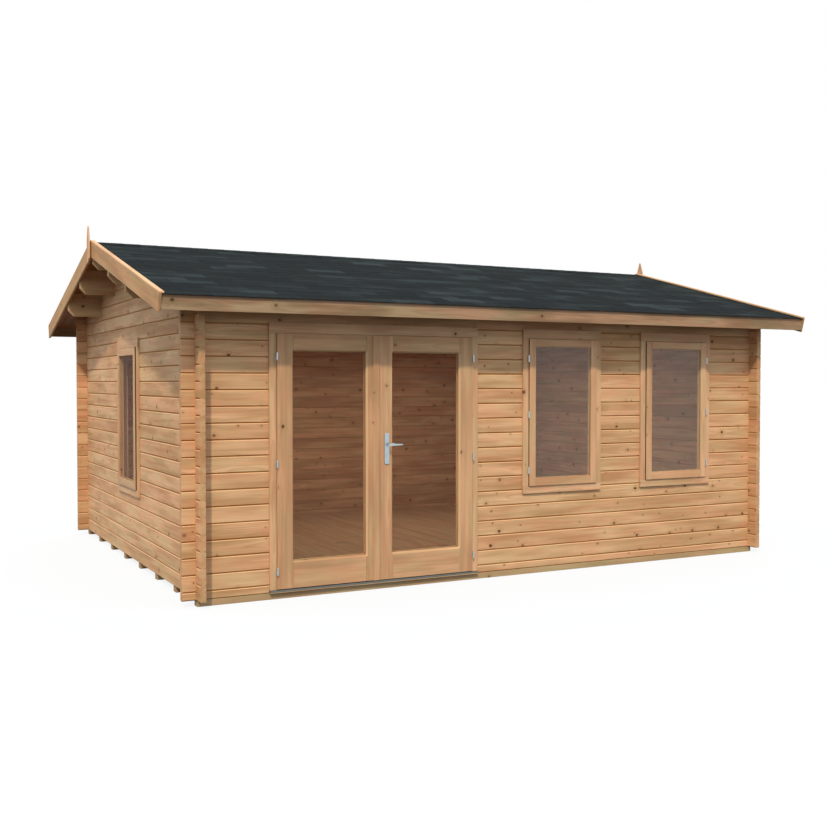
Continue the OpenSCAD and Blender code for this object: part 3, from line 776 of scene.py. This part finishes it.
# Bearers, roof timbers, frames, leaves and sashes
TIMBER_SEED = 201
PURLIN_SEED = 200
TRIM_NODES = (
    "left_barge_caps", "right_barge_caps", "left_finial", "right_finial", "door_frame",
    "front_window_frames", "side_window_frame",
)
TIMBERS = {"floor_bearers": "bearer_wood", **dict.fromkeys(TRIM_NODES, "trim_wood")}
for number, (timber_node, timber_slot) in enumerate(TIMBERS.items()):
    dress_timber(timber_node, timber_slot, TIMBER_ROUNDING, TIMBER_SEED + number)
dress_timber("purlins", "log_wood", TIMBER_ROUNDING, PURLIN_SEED, finish="purlin_wood")
ROOF_EDGES = {
    "front_fascia": ("fascia_wood", 290), "back_fascia": ("fascia_wood", 251),
    "left_bargeboards": ("barge_wood", 252), "right_bargeboards": ("barge_wood", 253),
}
for edge_node, (edge_finish, edge_seed) in ROOF_EDGES.items():
    dress_timber(edge_node, "trim_wood", TIMBER_ROUNDING, edge_seed, finish=edge_finish)
LEAVES = {"left_door_leaf": ("left_door_glass", 409), "right_door_leaf": ("right_door_glass", 720)}
for leaf_node, (leaf_panes, leaf_seed) in LEAVES.items():
    dress_timber(leaf_node, "joinery_wood", TIMBER_ROUNDING, leaf_seed, panes=leaf_panes)
SASHES = {"front_window_sashes": 619, "side_window_sash": 211}
for sash_node, sash_seed in SASHES.items():
    dress_timber(sash_node, "joinery_wood", TIMBER_ROUNDING, sash_seed, finish="sash_wood")


# Roof boards and floor boards

def side_outline(node):
    """The corners of a slab's profile in the YZ plane, in order round it."""
    verts = frame["nodes"][node].data.vertices
    points = sorted({(round(v.co.y, 5), round(v.co.z, 5)) for v in verts})
    middle_y = sum(p[0] for p in points) / len(points)
    middle_z = sum(p[1] for p in points) / len(points)
    return sorted(points, key=lambda p: math.atan2(p[1] - middle_z, p[0] - middle_y))


def board_slab(node, slot, seed, groove_up):
    """A slab as tongued boards that run along its profile, grooved on one face."""
    low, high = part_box(node)
    outline = side_outline(node)
    count = round((high[0] - low[0]) / BOARD_WIDTH)
    pitch = (high[0] - low[0]) / count
    bm = bmesh.new()
    for i in range(count):
        start = low[0] + i * pitch
        prism(bm, outline, start + BOARD_GAP / 2, start + pitch - BOARD_GAP / 2)
    face_outward(bm)
    run = [e for e in bm.edges if abs(e.verts[0].co.x - e.verts[1].co.x) < WELD]
    shown = {v: (v.co.z > outline_height(outline, v.co.y)) == groove_up for v in bm.verts}
    grooved = [e for e in run if all(shown[v] for v in e.verts)]
    bmesh.ops.bevel(bm, geom=grooved, offset=BOARD_GROOVE, segments=1, affect="EDGES")
    lay_grain(bm, seed, along=along_outline(outline), smooth=False)
    make_piece(node + "_boards", bm, slot, BODY_OF[node], [node])


def along_outline(outline):
    """The direction of an outline's longest side."""
    sides = [Vector(b) - Vector(a) for a, b in zip(outline, outline[1:] + outline[:1])]
    longest = max(sides, key=lambda side: round(side.length, 4))
    return (0, longest[0], longest[1])


def outline_height(outline, y):
    """The middle height of a slab's profile at a place along it."""
    _, slope_y, slope_z = along_outline(outline)
    middle_y = sum(p[0] for p in outline) / len(outline)
    middle_z = sum(p[1] for p in outline) / len(outline)
    return middle_z + (y - middle_y) * slope_z / slope_y


board_slab("front_roof_boards", "roof_board_wood", 301, groove_up=False)
board_slab("back_roof_boards", "roof_board_wood", 302, groove_up=False)
board_slab("floor", "floor_wood", 303, groove_up=True)


# Roof covering: an underlay, courses of tabs and a bent ridge course

def slope_frame(node):
    """Eave corner, up-slope direction, normal and length of a covering's lower face."""
    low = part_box(node)[0]
    outline = side_outline(node)
    ridge_y = min(outline, key=lambda p: abs(p[0]))[0]
    eave = max(outline, key=lambda p: (abs(p[0] - ridge_y), -p[1]))
    outline_low = [p for p in outline if abs(p[0] - eave[0]) > abs(eave[0] - ridge_y) / 2]
    top = min(outline_low, key=lambda p: p[1])
    up = Vector((0, top[0] - eave[0], top[1] - eave[1]))
    length = up.length
    up.normalize()
    normal = Vector((0, -up.z, up.y)) if up.y > 0 else Vector((0, up.z, -up.y))
    return Vector((low[0], eave[0], eave[1])), up, normal, length


def between_caps():
    """The span of the covering along X, from one gable's cap boards to the other's."""
    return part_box("left_barge_caps")[1][0] + MM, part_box("right_barge_caps")[0][0] - MM


def tab(bm, origin, up, normal, x_span, t_span, rise, tone_layer, tone, skew):
    """One shingle tab, a thin wedge that lies on the course below."""
    rows = []
    for t, height in zip(t_span, rise):
        for lift in (0.0, SHINGLE_THICK):
            lean = skew if t == t_span[0] else 0.0
            rows.append([
                bm.verts.new(
                    origin + Vector((x, 0, 0)) + up * (t + lean) + normal * (height + lift))
                for x in x_span
            ])
    low_0, high_0, low_1, high_1 = rows
    for quad in (
        (high_0[0], high_0[1], high_1[1], high_1[0]), (low_0[0], low_1[0], low_1[1], low_0[1]),
        (low_0[0], low_0[1], high_0[1], high_0[0]), (low_1[0], high_1[0], high_1[1], low_1[1]),
        (low_0[0], high_0[0], high_1[0], low_1[0]), (low_0[1], low_1[1], high_1[1], high_0[1]),
    ):
        bm.faces.new(quad)
    for row in rows:
        for vert in row:
            vert[tone_layer] = tone


def shingle_slope(node, name, seed):
    """The covering of one slope."""
    draw = random.Random(seed)
    low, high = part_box(node)
    cap_low, cap_high = between_caps()
    origin, up, normal, length = slope_frame(node)
    origin.x = 0.0
    bm = bmesh.new()
    tone_layer = bm.verts.layers.float.new("tone")
    wedge = SHINGLE_THICK * SHINGLE_COVER
    under = [origin + up * t + normal * n for t, n in (
        (0.0, 0.0), (length, 0.0), (length, UNDERLAY_THICK), (0.0, UNDERLAY_THICK))]
    prism(bm, [(p.y, p.z) for p in under], low[0], high[0])
    courses = math.ceil(length / SHINGLE_EXPOSURE)
    for course in range(courses):
        t_start = course * SHINGLE_EXPOSURE
        cover = min(SHINGLE_COVER * SHINGLE_EXPOSURE, length - t_start)
        if cover < LEAST_COVER:
            continue
        x = cap_low - (course % 2) * SHINGLE_TAB / 2 - draw.uniform(0, COURSE_SHIFT)
        while x < cap_high:
            start, end = max(x, cap_low), min(x + SHINGLE_TAB - SHINGLE_SLOT, cap_high)
            if end - start > SHINGLE_SLOT:
                tone = draw.random() ** TAB_TONE_POWER
                drop = wedge * (1 - cover / (SHINGLE_COVER * SHINGLE_EXPOSURE))
                tab(bm, origin, up, normal, (start, end), (t_start, t_start + cover),
                    (UNDERLAY_THICK + wedge, UNDERLAY_THICK + drop), tone_layer, tone,
                    draw.uniform(-TAB_SKEW_MM, TAB_SKEW_MM) * MM)
            x += SHINGLE_TAB
    face_outward(bm)
    make_piece(name, bm, "roof_felt", BODY_OF[node], [node])


shingle_slope("front_roof_felt", "front_roof_shingles", 401)
shingle_slope("back_roof_felt", "back_roof_shingles", 402)


def ridge_course(seed):
    """Short bent shingles that overlap along the ridge."""
    draw = random.Random(seed)
    low, high = between_caps()
    sides = [slope_frame(node) for node in ("front_roof_felt", "back_roof_felt")]
    base = UNDERLAY_THICK + SHINGLE_THICK * (1 + SHINGLE_COVER)
    count = round((high - low) / SHINGLE_EXPOSURE)
    exposure = (high - low) / count
    bm = bmesh.new()
    tone_layer = bm.verts.layers.float.new("tone")
    for i in range(count):
        start = low + i * exposure
        spans = ((start, base), (min(start + SHINGLE_COVER * exposure, high), base + RIDGE_LIFT))
        rings = []
        for x, rise in spans:
            lower, upper = [], []
            for origin, up, normal, length in sides:
                for t in (length - RIDGE_FLAP, length):
                    place = origin + up * t
                    lower.append(Vector((x, place.y, place.z)) + normal * rise)
                    upper.append(Vector((x, place.y, place.z)) + normal * (rise + SHINGLE_THICK))
            order = (0, 1, 3, 2)
            rings.append([lower[k] for k in order] + [upper[k] for k in reversed(order)])
        tone = draw.random() ** TAB_TONE_POWER
        for vert in solid_between(bm, *rings):
            vert[tone_layer] = tone
    face_outward(bm)
    make_piece("ridge_shingles", bm, "roof_felt", BODY_OF["front_roof_felt"])


ridge_course(403)


# Glazing beads and the rebate strips of the door leaves

def bead_bar(bm, pane, room, corner_a, corner_b):
    """A bead along one edge of a pane, with mitred ends. Corners are 0 or 1 along and up."""
    low, high = pane
    depth_axis = max(range(3), key=lambda i: abs(room[i]))
    wide_axis = 1 - depth_axis
    face = high[depth_axis] if room[depth_axis] > 0 else low[depth_axis]
    rings = []
    for wide_end, up_end in (corner_a, corner_b):
        ring = []
        for inward, height in BEAD_SECTION:
            point = [0.0, 0.0, 0.0]
            point[depth_axis] = face + room[depth_axis] * height
            for axis, far in ((wide_axis, wide_end), (2, up_end)):
                point[axis] = (low, high)[far][axis] + (-inward if far else inward)
            ring.append(point)
        rings.append(ring)
    solid_between(bm, *rings)


def glazing_beads(node, room, seed):
    """Quarter round beads that hold a node's panes on the room side."""
    bm = bmesh.new()
    for pane in node_boxes(node):
        for corner_a, corner_b in (
            ((0, 0), (1, 0)), ((1, 0), (1, 1)), ((1, 1), (0, 1)), ((0, 1), (0, 0)),
        ):
            bead_bar(bm, pane, room, corner_a, corner_b)
    face_outward(bm)
    lay_grain(bm, seed)
    piece = make_piece(node.replace("_glass", "_beads"), bm, "joinery_wood", BODY_OF[node])
    even_normals(piece)


glazing_beads("left_door_glass", (0, 1, 0), 501)
glazing_beads("right_door_glass", (0, 1, 0), 502)
glazing_beads("front_window_glass", (0, 1, 0), 503)
glazing_beads("side_window_glass", (1, 0, 0), 504)


def rebate_strips(node, hinge_side, seed):
    """Thin strips on a leaf's upright edges and head that close most of the gaps beside it."""
    low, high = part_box(node)
    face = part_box("right_door_leaf")[0][1]
    front, back = face + REBATE_BACK, face + REBATE_BACK + REBATE_DEPTH
    bm = bmesh.new()
    edge_x = low[0] if hinge_side < 0 else high[0]
    near, far = sorted((edge_x, edge_x + hinge_side * REBATE_LIP))
    head = high[2] + REBATE_LIP
    block(bm, (near, front, low[2]), (far, back, head))
    block(bm, (low[0], front, high[2]), (high[0], back, head))
    if hinge_side > 0:
        block(bm, (low[0] - SEAM_LIP, front, low[2]), (low[0], back, high[2]))
    face_outward(bm)
    lay_grain(bm, seed, smooth=False)
    make_piece(node.replace("_leaf", "_rebate"), bm, "joinery_wood", BODY_OF[node])


rebate_strips("left_door_leaf", -1, 511)
rebate_strips("right_door_leaf", 1, 512)


def sash_seal_shadow_strips(sashes, panes, frames, depth_axis):
    """A dark weather seal round each sash, on the face of its trim, that paints the shadow gap
    between sash and trim.
    """
    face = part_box(frames)[0][depth_axis]
    wide_axis = 1 - depth_axis
    bm = bmesh.new()
    for pane_low, pane_high in node_boxes(panes):
        parts = [
            box for box in node_boxes(sashes)
            if all(box[0][i] < pane_high[i] + MM and box[1][i] > pane_low[i] - MM for i in range(3))
        ]
        inner = [min(box[0][wide_axis] for box in parts), max(box[1][wide_axis] for box in parts)]
        level = [min(box[0].z for box in parts), max(box[1].z for box in parts)]
        outer = [inner[0] - SEAL_WIDTH, inner[1] + SEAL_WIDTH]
        for wide, up in (
            ((outer[0], inner[0]), level), ((inner[1], outer[1]), level),
            (outer, (level[1], level[1] + SEAL_WIDTH)),
        ):
            low, high = Vector((0, 0, up[0])), Vector((0, 0, up[1]))
            low[depth_axis], high[depth_axis] = face - SEAL_PROUD, face
            low[wide_axis], high[wide_axis] = wide
            block(bm, low, high)
    face_outward(bm)
    round_edges(bm, SEAL_ROUNDING, 1)
    make_piece(sashes + "_seal_shadow_strips", bm, "joinery_wood", BODY_OF[sashes], finish="seal_shadow_rubber")


sash_seal_shadow_strips("front_window_sashes", "front_window_glass", "front_window_frames", 1)
sash_seal_shadow_strips("side_window_sash", "side_window_glass", "side_window_frame", 0)


# Fittings: CAD shapes with softened edges, and hinges built anew on their axes

def joint_axis(name):
    """A point on a joint's axis."""
    joints = frame["record"]["behaviour"]["joints"]
    return Vector(next(joint["pos_m"] for joint in joints if joint["name"] == name))


def taper_lever(bm):
    """Draw the lever's bars in towards their tips."""
    axis = joint_axis("lever_turn")
    tip = max(vert.co.x for vert in bm.verts)
    for vert in bm.verts:
        if vert.co.x > tip - MM:
            vert.co.z = axis.z + (vert.co.z - axis.z) * LEVER_TIP_SHARE


def round_plate(bm):
    """Round the four corners of each handle plate."""
    boxes = [corners(verts) for verts in islands(bm)]
    upright = [
        edge for edge in bm.edges
        if all(
            any(
                min(abs(vert.co.x - low.x), abs(vert.co.x - high.x)) < WELD
                and min(abs(vert.co.z - low.z), abs(vert.co.z - high.z)) < WELD
                for low, high in boxes
            ) for vert in edge.verts
        ) and abs(edge.verts[0].co.y - edge.verts[1].co.y) > MM
    ]
    bmesh.ops.bevel(bm, geom=upright, offset=PLATE_CORNER, segments=5, profile=0.5, affect="EDGES")


def dress_fitting(node, slot, width, shape):
    """A CAD fitting with its shape refined and its edges softened."""
    bm = node_mesh(node)
    shape(bm)
    round_edges(bm, width)
    shade_faces(bm)
    piece = make_piece(node + "_finished", bm, slot, BODY_OF[node], [node])
    even_normals(piece)


dress_fitting("door_lever", "fitting_steel", LEVER_ROUNDING, taper_lever)
dress_fitting("door_handle_plates", "fitting_steel", PLATE_ROUNDING, round_plate)


def barrel(bm, foot, radius, height):
    """An upright hinge barrel with softened ends."""
    soft = radius * BARREL_SOFT_SHARE
    turned(bm, foot, (0, 0, 1), [
        (radius - soft, 0.0), (radius, soft), (radius, height - soft), (radius - soft, height),
    ])


def finish_steel(name, bm, node):
    """Close a steel piece that stands for a node."""
    face_outward(bm)
    round_edges(bm, STEEL_ROUNDING, 1)
    shade_faces(bm)
    even_normals(make_piece(name, bm, "fitting_steel", BODY_OF[node], [node]))


def door_hinges(side):
    """Upper hinge halves of one leaf, each a barrel on an arm that is let into the leaf's edge."""
    node = side + "_door_hinges"
    axis = joint_axis(side + "_door_swing")
    leaf_low, leaf_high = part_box(side + "_door_leaf")
    leaf_edge = leaf_low[0] if side == "left" else leaf_high[0]
    leaf_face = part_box("right_door_leaf")[0][1]
    bm = bmesh.new()
    for low, high in node_boxes(node):
        barrel(bm, (axis.x, axis.y, low.z), axis.y - low.y, high.z - low.z)
        back = leaf_face + 2 * HINGE_PLATE
        block(bm, (axis.x - HINGE_PLATE / 2, axis.y, low.z + HINGE_PLATE),
              (axis.x + HINGE_PLATE / 2, back, high.z - HINGE_PLATE))
        block(bm, (min(axis.x, leaf_edge), back - HINGE_PLATE, low.z + HINGE_PLATE),
              (max(axis.x, leaf_edge), back, high.z - HINGE_PLATE))
    finish_steel(node + "_finished", bm, node)


def frame_hinges():
    """Lower hinge halves, each a barrel with its pin and a lug on the trim."""
    node = "frame_hinge_pins"
    bm = bmesh.new()
    uppers = node_boxes("left_door_hinges") + node_boxes("right_door_hinges")
    for low, high in node_boxes(node):
        side = "left" if (low.x + high.x) / 2 < joint_axis("lever_turn").x else "right"
        axis = joint_axis(side + "_door_swing")
        radius = axis.y - low.y
        top = min(box[0].z for box in uppers if box[0].z > low.z) - HINGE_FIT
        barrel(bm, (axis.x, axis.y, low.z), radius, top - low.z)
        pin = [(radius / 2, 0.0), (radius / 2, high.z - top)]
        turned(bm, (axis.x, axis.y, top), (0, 0, 1), pin)
        end = low.x if side == "left" else high.x
        web = axis.x + math.copysign(HINGE_PLATE, end - axis.x)
        block(bm, (min(web, axis.x), axis.y, low.z + HINGE_PLATE),
              (max(web, axis.x), high.y, top - HINGE_PLATE))
        block(bm, (min(end, axis.x), high.y - HINGE_PLATE, low.z + HINGE_PLATE),
              (max(end, axis.x), high.y, top - HINGE_PLATE))
    finish_steel(node + "_finished", bm, node)


def window_hinges():
    """Whole hinge barrels beside the sashes, each with a seam and a lug on the trim."""
    node = "window_hinges"
    bm = bmesh.new()
    for low, high in node_boxes(node):
        x = (low.x + high.x) / 2
        radius = (high.x - low.x) / 2
        y = low.y + radius
        half = (high.z - low.z - HINGE_FIT) / 2
        barrel(bm, (x, y, low.z), radius, half)
        barrel(bm, (x, y, high.z - half), radius, half)
        plate = HINGE_PLATE / 2
        block(bm, (x - plate, y, low.z + plate), (x + plate, high.y, high.z - plate))
    finish_steel(node + "_finished", bm, node)


door_hinges("left")
door_hinges("right")
frame_hinges()
window_hinges()


def plate_details():
    """Screw heads and a key cylinder on both handle plates."""
    axis = joint_axis("lever_turn")
    bm = bmesh.new()
    for low, high in node_boxes("door_handle_plates"):
        outside = (low.y + high.y) / 2 < axis.y
        out = Vector((0, -1 if outside else 1, 0))
        face = low.y if outside else high.y
        for z in (low.z + SCREW_INSET, high.z - SCREW_INSET):
            turned(bm, (axis.x, face, z), out, SCREW_PROFILE)
        key_z = axis.z - KEY_DROP
        turned(bm, (axis.x, face, key_z), out, KEY_PROFILE)
        stem = KEY_RADIUS * KEY_STEM_SHARE
        foot = key_z - KEY_RADIUS * KEY_LENGTH_SHARE
        front, back = sorted((face, face + out.y * KEY_PROUD))
        block(bm, (axis.x - stem, front, foot), (axis.x + stem, back, key_z - stem))
    face_outward(bm)
    shade_faces(bm)
    body = BODY_OF["door_handle_plates"]
    even_normals(make_piece("handle_plate_details", bm, "fitting_steel", body))


plate_details()


def threshold():
    """A timber sill with a metal bar let into its top."""
    node = "door_threshold"
    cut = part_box(node)[1][2] - THRESHOLD_BAR
    for name, slot, below in (
        ("door_sill", "joinery_wood", True), ("threshold_bar", "threshold_metal", False),
    ):
        bm = node_mesh(node)
        made = cut_level(bm, cut, clear_outer=below, clear_inner=not below)
        rim = [e for e in made["geom_cut"] if isinstance(e, bmesh.types.BMEdge)]
        bmesh.ops.edgeloop_fill(bm, edges=rim)
        face_outward(bm)
        lay_grain(bm, 521, round_edges(bm, THRESHOLD_ROUNDING), (1, 0, 0))
        even_normals(make_piece(name, bm, slot, BODY_OF[node], [node]))


threshold()

# Glass: the CAD panes with their finishes
PANES = {
    "left_door_glass": "clear_glass", "right_door_glass": "clear_glass",
    "front_window_glass": "veiled_glass", "side_window_glass": "side_glass",
}
for pane_node, pane_finish in PANES.items():
    frame["nodes"][pane_node].data.materials.clear()
    frame["nodes"][pane_node].data.materials.append(MATERIALS[pane_finish])


# Stage

def seen_directly(tree):
    """1 for rays that show the background: straight, mirrored or through glass."""
    ray = add(tree, "LightPath")
    mirrored = calc(tree, "MAXIMUM", ray.outputs["Is Camera Ray"], ray.outputs["Is Glossy Ray"])
    return calc(tree, "MAXIMUM", mirrored, ray.outputs["Is Transmission Ray"])


def make_floor():
    """A pale floor that shows white and keeps the shadow."""
    bm = bmesh.new()
    bmesh.ops.create_circle(bm, cap_ends=True, segments=FLOOR_SEGMENTS, radius=FLOOR_RADIUS)
    mesh = bpy.data.meshes.new("studio_floor")
    bm.to_mesh(mesh)
    bm.free()
    material, tree = new_material("studio_floor")
    matte = add(tree, "BsdfDiffuse", {"Color": FLOOR_GREY})
    glow = add(tree, "Emission", {
        "Color": (1, 1, 1, 1), "Strength": calc(tree, "MULTIPLY", seen_directly(tree), FLOOR_GLOW)})
    close(tree, add(tree, "AddShader", {0: matte.outputs[0], 1: glow.outputs[0]}).outputs[0])
    mesh.materials.append(material)
    floor = new_object("studio_floor", mesh)
    floor.location.z = cad_box[0][2]


def make_world():
    """Soft sky light, white where it is seen."""
    world = bpy.data.worlds.new("studio")
    world.use_nodes = True
    tree = world.node_tree
    tree.nodes.clear()
    sky = add(tree, "Background", {"Color": SKY_COLOUR, "Strength": SKY_STRENGTH})
    white = add(tree, "Background", {"Color": (1, 1, 1, 1), "Strength": 1.0})
    mixed = add(tree, "MixShader", {0: seen_directly(tree), 1: sky.outputs[0], 2: white.outputs[0]})
    add(tree, "OutputWorld", {"Surface": mixed.outputs[0]})
    bpy.context.scene.world = world


def make_sun():
    """A broad key light from the front left."""
    light = bpy.data.lights.new("key_light", "SUN")
    light.energy = SUN_STRENGTH
    light.angle = math.radians(SUN_SOFTNESS)
    light.color = SUN_COLOUR
    sun = new_object("key_light", light)
    azimuth, elevation = math.radians(SUN_AZIMUTH), math.radians(SUN_ELEVATION)
    towards = Vector((
        math.cos(elevation) * math.sin(azimuth),
        math.cos(elevation) * math.cos(azimuth),
        -math.sin(elevation),
    ))
    sun.rotation_euler = towards.to_track_quat("-Z", "Y").to_euler()


def make_room_light():
    """A soft light under the roof, unseen itself, that shows the room through the glass."""
    low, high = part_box("floor")
    light = bpy.data.lights.new("room_light", "AREA")
    light.shape = "RECTANGLE"
    light.size, light.size_y = ROOM_LIGHT_SIZE
    light.energy = ROOM_LIGHT_POWER
    light.color = ROOM_LIGHT_COLOUR
    lamp = new_object("room_light", light)
    lamp.location = ((low[0] + high[0]) / 2, (low[1] + high[1]) / 2, ROOM_LIGHT_HEIGHT)
    lamp.visible_camera = lamp.visible_glossy = lamp.visible_transmission = False


def make_camera():
    """The photograph's viewpoint."""
    data = bpy.data.cameras.new("photo_camera")
    data.sensor_width = SENSOR_WIDTH
    data.lens = FOCAL_PIXELS / PHOTO_SIZE * SENSOR_WIDTH
    data.shift_x = (PHOTO_SIZE / 2 - OPTICAL_CENTRE[0]) / PHOTO_SIZE
    data.shift_y = (OPTICAL_CENTRE[1] - PHOTO_SIZE / 2) / PHOTO_SIZE
    data.clip_end = CAMERA_REACH
    camera = new_object("photo_camera", data)
    camera.location = CAMERA_PLACE
    camera.rotation_euler = (math.radians(90 + CAMERA_PITCH), 0, -math.radians(CAMERA_YAW))
    bpy.context.scene.camera = camera


make_floor()
make_world()
make_sun()
make_room_light()
make_camera()
bpy.context.scene.view_settings.view_transform = "Standard"
